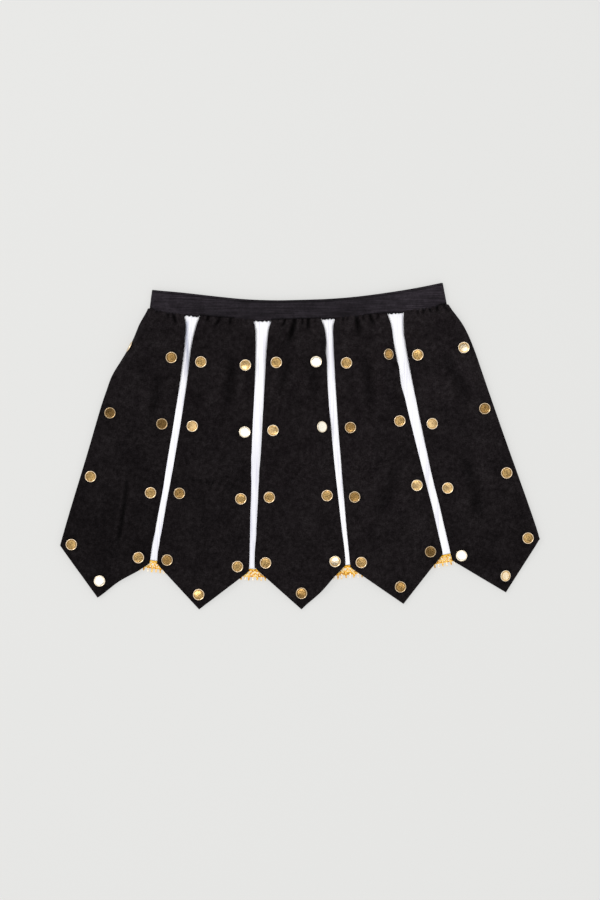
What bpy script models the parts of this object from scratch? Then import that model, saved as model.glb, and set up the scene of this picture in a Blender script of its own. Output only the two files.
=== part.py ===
"""Studded strap skirt, laid flat on its back with the front up.

An elastic waistband carries five pointed cloth panels in front and five behind, over a white
underskirt whose hem has a looped braid. The front panels are gathered a little into the band,
and each has nine round studs. All sizes in the tables are millimetres: +X to the right, +Y
towards the waistband, +Z up, with the underside flat on the plane Z = 0.
"""

import math
from collections import namedtuple

import bmesh
import bpy
import numpy as np
from mathutils import Matrix, Vector
from mathutils.bvhtree import BVHTree

MM = 0.001
MERGE = 0.02
NAME = "studded_strap_skirt"

# Wall thicknesses and the layers that they build up, from the surface upwards
PANEL_WALL = 1.2
LINING_WALL = 1.0
ELASTIC_WALL = 1.4
GAP = 0.3
SIDE_SEAM_GAP = 0.4
BACK_PANEL_Z = PANEL_WALL / 2
BACK_LINING_Z = PANEL_WALL + GAP + LINING_WALL / 2
FRONT_LINING_Z = BACK_LINING_Z + LINING_WALL + SIDE_SEAM_GAP
FRONT_PANEL_Z = FRONT_LINING_Z + LINING_WALL / 2 + GAP + PANEL_WALL / 2
LOWERED_PANEL_Z = PANEL_WALL + GAP + PANEL_WALL / 2
LOWERING_START = 6.0
LOWERING_LENGTH = 20.0

# Elastic waistband, a flattened loop
BandStation = namedtuple("BandStation", "low_x low_y high_x high_y")
BAND = (
    BandStation(-187.3, 175.9, -184.5, 195.3),
    BandStation(-178.0, 169.6, -176.0, 194.4),
    BandStation(-150.0, 165.4, -148.0, 192.0),
    BandStation(-100.0, 161.4, -99.0, 186.5),
    BandStation(-50.0, 157.9, -50.0, 182.3),
    BandStation(0.0, 159.0, 0.0, 183.0),
    BandStation(50.0, 161.4, 49.5, 184.8),
    BandStation(100.0, 165.9, 98.0, 190.2),
    BandStation(150.0, 171.0, 146.0, 197.6),
    BandStation(183.1, 177.8, 178.1, 204.1),
)
BAND_FRONT_STEPS = 20
BAND_BACK_STEPS = 10
BAND_FOLD_STEPS = 4
BAND_HEIGHT_STEPS = 2

# Panels: the outline seen from above. Left and right edges are given at these heights
LEVELS = (152.0, 132.0, 87.0, -3.0, -93.0)
Panel = namedtuple("Panel", "seam left right left_corner tip right_corner")
PANELS = (
    Panel(
        seam=(-186.6, -144.0),
        left=(-200.5, -209.0, -234.9, -263.7, -291.2),
        right=(-142.8, -143.9, -149.2, -163.3, -178.9),
        left_corner=(-300.0, -124.1),
        tip=(-253.1, -189.4),
        right_corner=(-188.1, -146.6),
    ),
    Panel(
        seam=(-125.9, -57.7),
        left=(-128.9, -134.0, -140.2, -154.4, -170.7),
        right=(-56.4, -55.7, -56.3, -60.4, -62.1),
        left_corner=(-179.1, -146.6),
        tip=(-126.2, -204.1),
        right_corner=(-63.8, -156.6),
    ),
    Panel(
        seam=(-36.1, 26.4),
        left=(-37.7, -40.4, -43.6, -48.6, -54.0),
        right=(29.4, 32.5, 33.8, 41.1, 50.9),
        left_corner=(-56.9, -151.6),
        tip=(1.9, -204.1),
        right_corner=(56.9, -149.1),
    ),
    Panel(
        seam=(43.4, 109.6),
        left=(41.7, 41.9, 43.9, 50.0, 57.5),
        right=(113.6, 116.5, 125.2, 146.3, 169.3),
        left_corner=(63.1, -151.6),
        tip=(129.4, -197.2),
        right_corner=(178.1, -134.7),
    ),
    Panel(
        seam=(129.1, 183.1),
        left=(129.5, 131.5, 139.5, 157.7, 178.9),
        right=(203.6, 213.4, 229.4, 260.7, 292.6),
        left_corner=(190.2, -142.8),
        tip=(257.5, -182.8),
        right_corner=(300.0, -115.9),
    ),
)
PANEL_STEPS = 14
PANEL_ROWS = (0, 0.015, 0.035, 0.06, 0.09, 0.125, 0.165, 0.21, 0.27, 0.36, 0.48, 0.62, 0.78, 0.9, 0.95, 1)
BACK_ROWS = (0, 0.1, 0.25, 0.5, 0.75, 1)
BACK_STEPS = 6
BACK_INSET = 2.0
BACK_CURL_INSET = 7.0

# Gathers under the band: where each dimple starts, how far down it runs, and its sideways lean.
# Lower down the cloth swells in slow waves, each given by its length, direction and shift per panel
PUFF_HEIGHT = 6.5
PUFF_RISE = 12.0
PUFF_HOLD = 28.0
PUFF_FADE = 85.0
GATHER_WIDTH = 3.4
GATHER_DEPTH = 0.85
GATHER_SPREAD = 40.0
GATHER_FULL_SHARE = 0.35
Gather = namedtuple("Gather", "panel x reach lean")
GATHERS = (
    Gather(0, -175.6, 18.0, -0.25),
    Gather(0, -165.0, 14.0, -0.1),
    Gather(0, -156.0, 26.0, 0.05),
    Gather(1, -113.1, 14.0, -0.1),
    Gather(1, -99.4, 22.0, -0.15),
    Gather(1, -86.2, 34.0, -0.1),
    Gather(1, -71.0, 16.0, 0.1),
    Gather(2, -19.4, 16.0, -0.1),
    Gather(2, -6.0, 42.0, -0.25),
    Gather(2, 3.1, 16.0, 0.0),
    Gather(2, 11.5, 24.0, 0.1),
    Gather(3, 54.4, 14.0, -0.1),
    Gather(3, 62.5, 16.0, 0.0),
    Gather(3, 70.5, 36.0, 0.15),
    Gather(3, 79.0, 14.0, 0.1),
    Gather(3, 88.1, 22.0, 0.2),
    Gather(3, 97.0, 14.0, 0.2),
    Gather(4, 146.9, 14.0, 0.1),
    Gather(4, 155.0, 20.0, 0.2),
    Gather(4, 161.5, 16.0, 0.3),
    Gather(4, 170.0, 24.0, 0.45),
    Gather(4, 177.5, 16.0, 0.6),
)
EDGE_SHARE = 0.45
EDGE_EASE = 14.0
SWELL = 0.5
Swell = namedtuple("Swell", "length x y shift")
SWELLS = (
    Swell(88.0, 1.0, 0.4, 1.7),
    Swell(131.0, -0.3, 1.0, 2.3),
)

# Side margins that roll downwards beside a stud, and end in a curl where the cloth turns under
MARGIN = 17.0
MARGIN_BEND = 5.2
MARGIN_HOLD = 14.7
MARGIN_PIECES = 68
CURLED_ARCS = (0.0, 2.6, 5.2, 9.9, 14.7, 15.9, 17.0)
ROLLED_ARCS = (0.0, 2.6, 5.2, 17.0)
ROLL_PLATEAU = 8.0
ROLL_ROWS = (-28.0, -ROLL_PLATEAU, ROLL_PLATEAU, 28.0)
ROW_SPACING = 0.012
ROLL_INNER_SLOPE = 34.0
CURLED_EDGE_Z = 1.3
Roll = namedtuple("Roll", "panel side y above below turn curl")
ROLLS = (
    Roll(0, "left", 123.9, 50.0, 52.0, 75.0, 150.0),
    Roll(2, "right", 24.1, 42.0, 42.0, 30.0, 30.0),
    Roll(3, "right", 114.6, 48.0, 50.0, 36.0, 36.0),
    Roll(4, "right", 123.1, 48.0, 46.0, 16.0, 16.0),
)

# Underskirt, inside the outer panels, and the arc of its hem
UNDERSKIRT_INSET = 14.0
UNDERSKIRT_TOP_INSET = 3.0
UNDERSKIRT_INSET_EASE = 40.0
HEM_LOW_Y = -153.4
HEM_LOW_X = -24.4
HEM_CURVE = 4.4e-4
STRIP_FOLD_SHARE = 0.11
STRIP_FOLD_LIMIT = 1.5
STRIP_FOLD_START = 0.04
HEM_ROUNDS = 6
Line = namedtuple("Line", "x fold")
LINING_ROWS = (0, 0.04, 0.12, 0.25, 0.42, 0.62, 0.82, 1)
SPAN_STEPS = 4

# Braid along the hem, with drops at its lower edge where the panels' notches show it
BRAID_DEPTH = 12.0
DROP_LENGTH = 5.0
DROP_PITCH = 5.0
DROPS_IN_A_NOTCH = 9
BRAID_SPAN_STEPS = 5

# Studs: turned discs with a raised rim and a dished middle
STUD_RADIUS = 7.2
STUD_STEPS = 12
SEAT_RINGS = (0.5, 0.95)
SEAT_ROUNDS = 3
SEAT_PROBE = 6.0
SEAT_LIMIT = 3.0
ABOVE_ALL = 100.0
ProfilePoint = namedtuple("ProfilePoint", "radius height")
STUD_PROFILE = (
    ProfilePoint(0.0, 1.0),
    ProfilePoint(5.4, 1.1),
    ProfilePoint(6.2, 1.5),
    ProfilePoint(STUD_RADIUS, 0.8),
    ProfilePoint(STUD_RADIUS, 0.0),
    ProfilePoint(0.0, 0.0),
)
StudRow = namedtuple("StudRow", "panel row left right")
STUD_ROWS = (
    StudRow(0, 1, (-212.2, 123.9), (-160.6, 110.8)),
    StudRow(0, 2, (-237.4, 41.6), (-172.5, 27.9)),
    StudRow(0, 3, (-261.6, -37.9), (-186.8, -58.1)),
    StudRow(0, 4, (-285.6, -122.8), (-201.9, -139.1)),
    StudRow(1, 1, (-123.6, 105.2), (-68.2, 101.2)),
    StudRow(1, 2, (-134.5, 25.1), (-69.1, 17.6)),
    StudRow(1, 3, (-150.6, -58.8), (-74.0, -65.7)),
    StudRow(1, 4, (-166.1, -142.2), (-78.1, -150.3)),
    StudRow(2, 1, (-29.5, 104.6), (20.0, 105.3)),
    StudRow(2, 2, (-33.8, 19.8), (26.9, 24.1)),
    StudRow(2, 3, (-38.3, -63.8), (33.8, -61.6)),
    StudRow(2, 4, (-43.0, -145.8), (43.8, -143.9)),
    StudRow(3, 1, (58.0, 104.1), (109.9, 114.6)),
    StudRow(3, 2, (63.0, 23.4), (124.5, 31.6)),
    StudRow(3, 3, (68.3, -63.4), (146.1, -48.8)),
    StudRow(3, 4, (76.6, -145.2), (163.0, -131.8)),
    StudRow(4, 1, (147.0, 114.1), (204.4, 123.1)),
    StudRow(4, 2, (165.0, 28.2), (230.8, 47.1)),
    StudRow(4, 3, (184.6, -52.2), (258.2, -33.3)),
    StudRow(4, 4, (201.9, -136.6), (284.9, -114.8)),
)
POINT_STUDS = ((-250.6, -168.2), (-126.6, -185.2), (1.9, -183.6), (125.5, -175.7), (256.5, -161.9))


def smoothstep(t):
    """0 below 0, 1 above 1, and an even ease between."""
    t = np.clip(t, 0.0, 1.0)
    return t * t * (3 - 2 * t)


def curve_through(places, values):
    """A smooth function through the points: cubic pieces with the mean slope at each point."""
    order = np.argsort(places)
    p = np.array(places, float)[order]
    q = np.array(values, float)[order]
    slopes = np.gradient(q, p)

    def value(at):
        i = int(np.clip(np.searchsorted(p, at) - 1, 0, len(p) - 2))
        step = p[i + 1] - p[i]
        t = (at - p[i]) / step
        if t < 0 or t > 1:
            end = i if t < 0 else i + 1
            return float(q[end] + slopes[end] * (at - p[end]))
        start = (1 + 2 * t) * (1 - t) ** 2 * q[i] + t * (1 - t) ** 2 * step * slopes[i]
        finish = t * t * (3 - 2 * t) * q[i + 1] + t * t * (t - 1) * step * slopes[i + 1]
        return float(start + finish)

    return value


band_low = curve_through([s.low_x for s in BAND], [s.low_y for s in BAND])


def hem_y(x):
    """Height of the underskirt's hem, an arc that hangs lowest near the middle."""
    return HEM_LOW_Y + HEM_CURVE * (x - HEM_LOW_X) ** 2


def side_curve(panel, side):
    """The function x(y) of a panel's side edge, from the band to the corner."""
    seam_x = panel.seam[0] if side == "left" else panel.seam[1]
    corner = panel.left_corner if side == "left" else panel.right_corner
    edge = panel.left if side == "left" else panel.right
    heights = [band_low(seam_x) - GAP, *LEVELS, corner[1]]
    return curve_through(heights, [seam_x, *edge, corner[0]])


LEFT_EDGES = [side_curve(panel, "left") for panel in PANELS]
RIGHT_EDGES = [side_curve(panel, "right") for panel in PANELS]


def underskirt_side(side, y):
    """x of the underskirt's side edge, a little inside the outer panel's outline."""
    panel = PANELS[0] if side == "left" else PANELS[-1]
    seam_y = band_low(panel.seam[0] if side == "left" else panel.seam[1])
    deeper = UNDERSKIRT_INSET - UNDERSKIRT_TOP_INSET
    inset = UNDERSKIRT_TOP_INSET + deeper * float(smoothstep((seam_y - y) / UNDERSKIRT_INSET_EASE))
    return LEFT_EDGES[0](y) + inset if side == "left" else RIGHT_EDGES[-1](y) - inset


def patch_point(top, bottom, left, right, u, v):
    """A point of the surface spanned by four edges: functions of 0 to 1, with shared corners."""
    t, b, l, r = (np.array(p, float) for p in (top(u), bottom(u), left(v), right(v)))
    t0, t1, b0, b1 = (np.array(p, float) for p in (top(0), top(1), bottom(0), bottom(1)))
    corners = (1 - u) * (1 - v) * t0 + u * (1 - v) * t1 + (1 - u) * v * b0 + u * v * b1
    return (1 - v) * t + v * b + (1 - u) * l + u * r - corners


def panel_edges(index, inset=0.0):
    """The four edges of a panel as functions of 0 to 1; the bottom one has the hem's point."""
    panel = PANELS[index]

    def seam(u):
        x = panel.seam[0] + inset + u * (panel.seam[1] - panel.seam[0] - 2 * inset)
        return x, band_low(x) - GAP

    def moved_in(point, sideways):
        return point[0] + sideways, point[1] + inset

    corner_l = moved_in(panel.left_corner, inset)
    corner_r = moved_in(panel.right_corner, -inset)
    tip = moved_in(panel.tip, 0.0)

    def hem(u):
        start, end = (corner_l, tip) if u < 0.5 else (tip, corner_r)
        t = 2 * u if u < 0.5 else 2 * u - 1
        return start[0] + t * (end[0] - start[0]), start[1] + t * (end[1] - start[1])

    def side(edge, start, corner):
        def point(v):
            y = start[1] + v * (corner[1] - start[1])
            ends = (1 - v) * (start[0] - edge(start[1])) + v * (corner[0] - edge(corner[1]))
            return edge(y) + ends, y

        return point

    left = side(LEFT_EDGES[index], seam(0), corner_l)
    right = side(RIGHT_EDGES[index], seam(1), corner_r)
    return seam, hem, left, right


def roll_share(roll, y):
    """How far a margin is rolled at this height: 1 at the stud, 0 beyond the roll's reach."""
    reach = roll.above if y > roll.y else roll.below
    return 1 - float(smoothstep((abs(y - roll.y) - ROLL_PLATEAU) / (reach - ROLL_PLATEAU)))


def margin_section(roll, share):
    """Outward run and drop of a rolled margin at each of its arc lengths, and its furthest reach."""
    turn = math.radians(roll.turn) * share
    curl = math.radians(roll.curl) * share
    step = MARGIN / MARGIN_PIECES
    run = [0.0]
    drop = [0.0]
    for i in range(MARGIN_PIECES):
        along = (i + 0.5) * step
        tucked = max(along - MARGIN_HOLD, 0.0) / (MARGIN - MARGIN_HOLD)
        angle = turn * min(along / MARGIN_BEND, 1.0) + (curl - turn) * tucked
        run.append(run[-1] + math.cos(angle) * step)
        drop.append(drop[-1] + math.sin(angle) * step)
    arcs = CURLED_ARCS if roll.curl > roll.turn else ROLLED_ARCS
    places = np.linspace(0.0, MARGIN, MARGIN_PIECES + 1)
    return arcs, np.interp(arcs, places, run), np.interp(arcs, places, drop), max(run)


def support_z(x, y):
    """Middle of a front panel's wall where it lies flat: on the underskirt, or on the back panel."""
    below_braid = hem_y(x) - BRAID_DEPTH - DROP_LENGTH - y
    fall = float(smoothstep((below_braid - LOWERING_START) / LOWERING_LENGTH))
    return FRONT_PANEL_Z - (FRONT_PANEL_Z - LOWERED_PANEL_Z) * fall


def gather_height(index, x, y):
    """Height of the gathered cloth above where it would lie flat."""
    down = max(band_low(x) - y, 0.0)
    rise = math.sin(0.5 * math.pi * min(down / PUFF_RISE, 1.0))
    puff = PUFF_HEIGHT * rise * (1 - float(smoothstep((down - PUFF_HOLD) / PUFF_FADE)))
    dimple = 0.0
    for gather in GATHERS:
        if gather.panel == index:
            width = GATHER_WIDTH * (1 + down / GATHER_SPREAD)
            away = (x - gather.x - gather.lean * down) / width
            fade = float(smoothstep(down / gather.reach - GATHER_FULL_SHARE))
            dimple += math.exp(-away * away) * (1 - fade)
    return puff * (1 - GATHER_DEPTH * min(dimple, 1.0))


def swell_height(index, x, y):
    """Slow waves of cloth that doesn't lie quite flat."""
    height = 0.0
    for wave in SWELLS:
        phase = wave.shift * index
        height += SWELL * (1 + math.sin(2 * math.pi * (wave.x * x + wave.y * y) / wave.length + phase))
    return height


def rolled_sides(index):
    """The rolls of one panel, by side."""
    return {roll.side: roll for roll in ROLLS if roll.panel == index}


class RolledSide:
    """One side margin of a panel at one height: how far it is rolled, and its section there."""

    def __init__(self, roll, y):
        self.share = roll_share(roll, y)
        self.arcs, self.run, self.drop, self.reach = margin_section(roll, self.share)
        sunk = FRONT_PANEL_Z - CURLED_EDGE_Z if roll.curl > roll.turn else 0.0
        self.crest = self.drop[-1] - sunk * self.share

    def inward(self, distance):
        """1 on the crest of the roll, easing to 0 further into the panel."""
        return 1 - float(smoothstep((distance - self.reach) / ROLL_INNER_SLOPE))


def front_row(index, edges, v):
    """The points across a front panel at the share v of its length."""
    ends = {"left": patch_point(*edges, 0.0, v), "right": patch_point(*edges, 1.0, v)}
    width = ends["right"][0] - ends["left"][0]
    rolled = {side: RolledSide(roll, ends[side][1]) for side, roll in rolled_sides(index).items()}
    reach = {side: rolled[side].reach if side in rolled else 0.0 for side in ends}

    def point(distance, free, raised, level):
        """A point at a plan distance from the left edge, with free cloth between it and an edge."""
        x, y = patch_point(*edges, distance / width, v)
        lie = float(smoothstep(free / EDGE_EASE))
        puff = (EDGE_SHARE + (1 - EDGE_SHARE) * lie) * gather_height(index, x, y)
        return x, y, support_z(x, y) + raised + level * (puff + lie * swell_height(index, x, y))

    def interior(distance):
        away = {"left": distance, "right": width - distance}
        free = min(away[side] + (MARGIN - reach[side] if side in rolled else 0.0) for side in away)
        shares = {side: rolled[side].inward(away[side]) for side in rolled}
        raised = sum(rolled[side].crest * shares[side] for side in rolled)
        level = 1 - sum(rolled[side].share * shares[side] for side in rolled)
        return point(distance, free, raised, level)

    half = PANEL_STEPS // 2
    left_half = np.linspace(reach["left"], width / 2, half + 1)
    right_half = np.linspace(width / 2, width - reach["right"], half + 1)
    row = [interior(distance) for distance in (*left_half, *right_half[1:])]
    for side, margin in rolled.items():
        points = []
        for arc, out, down in list(zip(margin.arcs, margin.run, margin.drop))[1:]:
            distance = margin.reach - out
            distance = distance if side == "left" else width - distance
            points.append(point(distance, MARGIN - arc, margin.crest - down, 1 - margin.share))
        row = points[::-1] + row if side == "left" else row + points
    return row


def panel_rows(index):
    """Shares of a front panel's length at which it has a row of points, closer beside a roll."""
    edges = panel_edges(index)
    rows = set(PANEL_ROWS)
    for side, roll in rolled_sides(index).items():
        top, bottom = (edges[2 if side == "left" else 3](v)[1] for v in (0.0, 1.0))
        for offset in ROLL_ROWS:
            rows.add(round((top - roll.y - offset) / (top - bottom), 4))
    kept = []
    for v in sorted(rows):
        if not kept or v - kept[-1] > ROW_SPACING:
            kept.append(v)
    kept[-1] = 1
    return kept


def material(name, colour, roughness, metallic=0.0):
    """A plain material with the piece's colour, roughness and metallic value."""
    made = bpy.data.materials.new(name)
    made.use_nodes = True
    shader = made.node_tree.nodes["Principled BSDF"]
    shader.inputs["Base Color"].default_value = (*colour, 1.0)
    shader.inputs["Roughness"].default_value = roughness
    shader.inputs["Metallic"].default_value = metallic
    return made


def sheet_object(name, rows, wall, finish, collection, closed=False):
    """A cloth wall: a grid whose vertices take the rows' points, thickened to the wall."""
    across = len(rows[0])
    mesh = bpy.data.meshes.new(name)
    grid = bmesh.new()
    bmesh.ops.create_grid(grid, x_segments=across - 1, y_segments=len(rows) - 1, size=1.0)
    ordered = sorted(grid.verts, key=lambda vert: (-round(vert.co.y, 5), round(vert.co.x, 5)))
    for vert, point in zip(ordered, (point for row in rows for point in row)):
        vert.co = Vector(point) * MM
    if closed:
        bmesh.ops.remove_doubles(grid, verts=grid.verts, dist=MERGE * MM)
        bmesh.ops.recalc_face_normals(grid, faces=grid.faces)
    grid.to_mesh(mesh)
    grid.free()
    mesh.materials.append(finish)
    mesh.shade_smooth()
    made = bpy.data.objects.new(name, mesh)
    collection.objects.link(made)
    solidify = made.modifiers.new("wall", "SOLIDIFY")
    solidify.thickness = wall * MM
    solidify.offset = 0.0
    solidify.use_even_offset = True
    return made


def build_front_panel(index, finish, collection):
    edges = panel_edges(index)
    rows = [front_row(index, edges, v) for v in panel_rows(index)]
    return sheet_object(f"front_panel_{index + 1}", rows, PANEL_WALL, finish, collection)


def back_take_up(index, side, y):
    """How far a back panel's edge stays inside the curl of the front panel's margin."""
    roll = rolled_sides(index).get(side)
    return BACK_CURL_INSET * roll_share(roll, y) if roll and roll.curl > roll.turn else 0.0


def build_back_panel(index, finish, collection):
    edges = panel_edges(index, BACK_INSET)
    rows = []
    for v in BACK_ROWS:
        row = []
        for i in range(BACK_STEPS + 1):
            u = i / BACK_STEPS
            x, y = patch_point(*edges, u, v)
            x += (1 - u) * back_take_up(index, "left", y)
            row.append((x, y, BACK_PANEL_Z))
        rows.append(row)
    return sheet_object(f"back_panel_{index + 1}", rows, PANEL_WALL, finish, collection)


def between(first, second, share):
    """The function that lies between two functions of y."""
    return lambda y: (1 - share) * first(y) + share * second(y)


def flat(_):
    """The height of a line with no fold."""
    return 0.0


def strip_fold(right_edge, left_edge):
    """Height of the soft fold down a gap's middle, by the gap's width at each height."""
    return lambda y: min(STRIP_FOLD_SHARE * (left_edge(y) - right_edge(y)), STRIP_FOLD_LIMIT)


def underskirt_lines():
    """Lines of points down the underskirt, with three down each gap: its two edges and its middle."""
    kept = [Line(lambda y: underskirt_side("left", y), flat)]
    for right_edge, left_edge in zip(RIGHT_EDGES, LEFT_EDGES[1:]):
        kept.append(Line(right_edge, flat))
        kept.append(Line(between(right_edge, left_edge, 0.5), strip_fold(right_edge, left_edge)))
        kept.append(Line(left_edge, flat))
    kept.append(Line(lambda y: underskirt_side("right", y), flat))
    filled = [kept[0]]
    for start, end in zip(kept, kept[1:]):
        if start.fold is flat and end.fold is flat:
            shares = [k / SPAN_STEPS for k in range(1, SPAN_STEPS)]
            filled += [Line(between(start.x, end.x, share), flat) for share in shares]
        filled.append(end)
    return filled


def hem_end(line_x):
    """x at which a line down the underskirt meets the hem."""
    x = line_x(HEM_LOW_Y)
    for _ in range(HEM_ROUNDS):
        x = line_x(hem_y(x))
    return x


def build_underskirt(name, z, folded, lines, rows, finish, collection):
    """One wall of the underskirt: points down its lines, from the band to the hem."""
    points = []
    for v in rows:
        row = []
        for line in lines:
            top = band_low(line.x(LEVELS[0])) - GAP
            y = top + v * (hem_y(hem_end(line.x)) - top)
            fold = line.fold(y) * min(v / STRIP_FOLD_START, 1.0) if folded else 0.0
            row.append((line.x(y), y, z + fold))
        points.append(row)
    return sheet_object(name, points, LINING_WALL, finish, collection)


def notch_centres():
    """x of each notch between two panels' corners."""
    return [(a.right_corner[0] + b.left_corner[0]) / 2 for a, b in zip(PANELS, PANELS[1:])]


def build_braid(name, z, finish, collection):
    """A strip along the hem. Its lower edge runs in drops at each notch between panels."""
    half_zone = DROPS_IN_A_NOTCH * DROP_PITCH / 2
    left, right = (hem_end(lambda y, s=side: underskirt_side(s, y)) for side in ("left", "right"))
    places = []
    start = left
    for centre in notch_centres():
        for i in range(BRAID_SPAN_STEPS):
            places.append((start + (centre - half_zone - start) * i / BRAID_SPAN_STEPS, 0.5))
        for i in range(2 * DROPS_IN_A_NOTCH + 1):
            places.append((centre - half_zone + i * DROP_PITCH / 2, float(i % 2)))
        start = centre + half_zone + DROP_PITCH
    for i in range(BRAID_SPAN_STEPS + 1):
        places.append((start + (right - start) * i / BRAID_SPAN_STEPS, 0.5))
    top = [(x, hem_y(x) - GAP, z) for x, _ in places]
    bottom = [(x, hem_y(x) - BRAID_DEPTH - DROP_LENGTH * drop, z) for x, drop in places]
    return sheet_object(name, [top, bottom], LINING_WALL, finish, collection)


def band_row(height_share):
    """The points round the elastic loop at one height: front, right fold, back, left fold."""
    shares = np.linspace(0.0, 1.0, len(BAND))
    along = {field: curve_through(shares, [getattr(s, field) for s in BAND]) for field in BandStation._fields}
    back_z = ELASTIC_WALL / 2
    radius = (FRONT_PANEL_Z - back_z) / 2

    def wall(share, z):
        x = along["low_x"](share) * (1 - height_share) + along["high_x"](share) * height_share
        y = along["low_y"](share) * (1 - height_share) + along["high_y"](share) * height_share
        return x, y, z

    left, right = wall(0, 0)[0], wall(1, 0)[0]
    squeeze = (right - left - 2 * radius) / (right - left)

    def inset(point):
        return left + radius + (point[0] - left) * squeeze, point[1], point[2]

    row = [inset(wall(i / BAND_FRONT_STEPS, FRONT_PANEL_Z)) for i in range(BAND_FRONT_STEPS + 1)]
    for centre, sign in ((inset(wall(1, 0)), 1), (inset(wall(0, 0)), -1)):
        for k in range(1, BAND_FOLD_STEPS):
            turn = math.pi * k / BAND_FOLD_STEPS
            out = radius * math.sin(turn)
            up = radius * math.cos(turn)
            row.append((centre[0] + sign * out, centre[1], back_z + radius + sign * up))
        if sign > 0:
            row += [inset(wall(1 - i / BAND_BACK_STEPS, back_z)) for i in range(BAND_BACK_STEPS + 1)]
    row.append(row[0])
    return row


def build_waistband(finish, collection):
    rows = [band_row(1 - i / BAND_HEIGHT_STEPS) for i in range(BAND_HEIGHT_STEPS + 1)]
    return sheet_object("waistband", rows, ELASTIC_WALL, finish, collection, closed=True)


def stud_mesh(finish):
    """The stud's half profile as a mesh, which a Screw modifier turns about Z."""
    mesh = bpy.data.meshes.new("stud_profile")
    points = [(p.radius * MM, 0.0, p.height * MM) for p in STUD_PROFILE]
    mesh.from_pydata(points, [(i, i + 1) for i in range(len(points) - 1)], [])
    mesh.materials.append(finish)
    return mesh


def seat_samples(tree, centre, normal):
    """Points of the cloth under a stud, on rings about its centre."""
    side = normal.orthogonal().normalized()
    other = normal.cross(side)
    hits = [centre]
    for share in SEAT_RINGS:
        for k in range(STUD_STEPS):
            turn = 2 * math.pi * k / STUD_STEPS
            offset = (side * math.cos(turn) + other * math.sin(turn)) * share * STUD_RADIUS * MM
            hit = tree.ray_cast(centre + offset + normal * SEAT_PROBE * MM, -normal)[0]
            if hit is not None and abs((hit - centre).dot(normal)) < SEAT_LIMIT * MM:
                hits.append(hit)
    return hits


def cloth_seat(tree, x, y):
    """Where a stud sits, just above the highest cloth under it, and the mean normal there."""
    above = Vector((x, y, ABOVE_ALL)) * MM
    centre, normal, _, _ = tree.ray_cast(above, Vector((0, 0, -1)))
    for _ in range(SEAT_ROUNDS):
        hits = seat_samples(tree, centre, normal)
        cloud = np.array(hits) - np.mean(hits, axis=0)
        fitted = Vector(np.linalg.svd(cloud)[2][2])
        normal = fitted if fitted.dot(normal) > 0 else -fitted
    height = max((hit - centre).dot(normal) for hit in seat_samples(tree, centre, normal))
    return centre + normal * (height + GAP * MM), normal


def build_stud(name, mesh, tree, place, collection):
    seat, normal = cloth_seat(tree, *place)
    stud = bpy.data.objects.new(name, mesh)
    collection.objects.link(stud)
    stud.matrix_world = Matrix.Translation(seat) @ normal.to_track_quat("Z", "Y").to_matrix().to_4x4()
    turned = stud.modifiers.new("turned", "SCREW")
    turned.axis = "Z"
    turned.steps = STUD_STEPS
    turned.render_steps = STUD_STEPS
    turned.use_merge_vertices = True
    turned.merge_threshold = MERGE * MM
    return stud


def build_studs(panels, mesh, collection):
    bpy.context.view_layer.update()
    scene = bpy.context.evaluated_depsgraph_get()
    trees = [BVHTree.FromObject(panel, scene) for panel in panels]
    for row in STUD_ROWS:
        number = row.panel + 1
        build_stud(f"stud_{number}_left_{row.row}", mesh, trees[row.panel], row.left, collection)
        build_stud(f"stud_{number}_right_{row.row}", mesh, trees[row.panel], row.right, collection)
    for index, place in enumerate(POINT_STUDS):
        build_stud(f"stud_{index + 1}_point", mesh, trees[index], place, collection)


def main():
    for old in list(bpy.data.objects):
        bpy.data.objects.remove(old)
    collection = bpy.data.collections.new(NAME)
    bpy.context.scene.collection.children.link(collection)
    suede = material("black_suede", (0.014, 0.012, 0.013), 0.95)
    lining = material("white_lining", (0.90, 0.90, 0.93), 0.6)
    elastic = material("black_elastic", (0.02, 0.019, 0.024), 0.6)
    braid = material("golden_braid", (0.80, 0.52, 0.16), 0.7)
    gold = material("gold_stud", (0.72, 0.50, 0.20), 0.25, metallic=1.0)

    build_waistband(elastic, collection)
    lines = underskirt_lines()
    build_underskirt("underskirt_front", FRONT_LINING_Z, True, lines, LINING_ROWS, lining, collection)
    build_underskirt("underskirt_back", BACK_LINING_Z, False, lines[::2], BACK_ROWS, lining, collection)
    build_braid("hem_braid_front", FRONT_LINING_Z, braid, collection)
    build_braid("hem_braid_back", BACK_LINING_Z, braid, collection)
    front = [build_front_panel(i, suede, collection) for i in range(len(PANELS))]
    for i in range(len(PANELS)):
        build_back_panel(i, suede, collection)
    build_studs(front, stud_mesh(gold), collection)


main()
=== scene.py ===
import math
import random as randoms
from collections import namedtuple
from functools import lru_cache

import bmesh
import bpy
import numpy as np
from mathutils import Matrix, Vector


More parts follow.
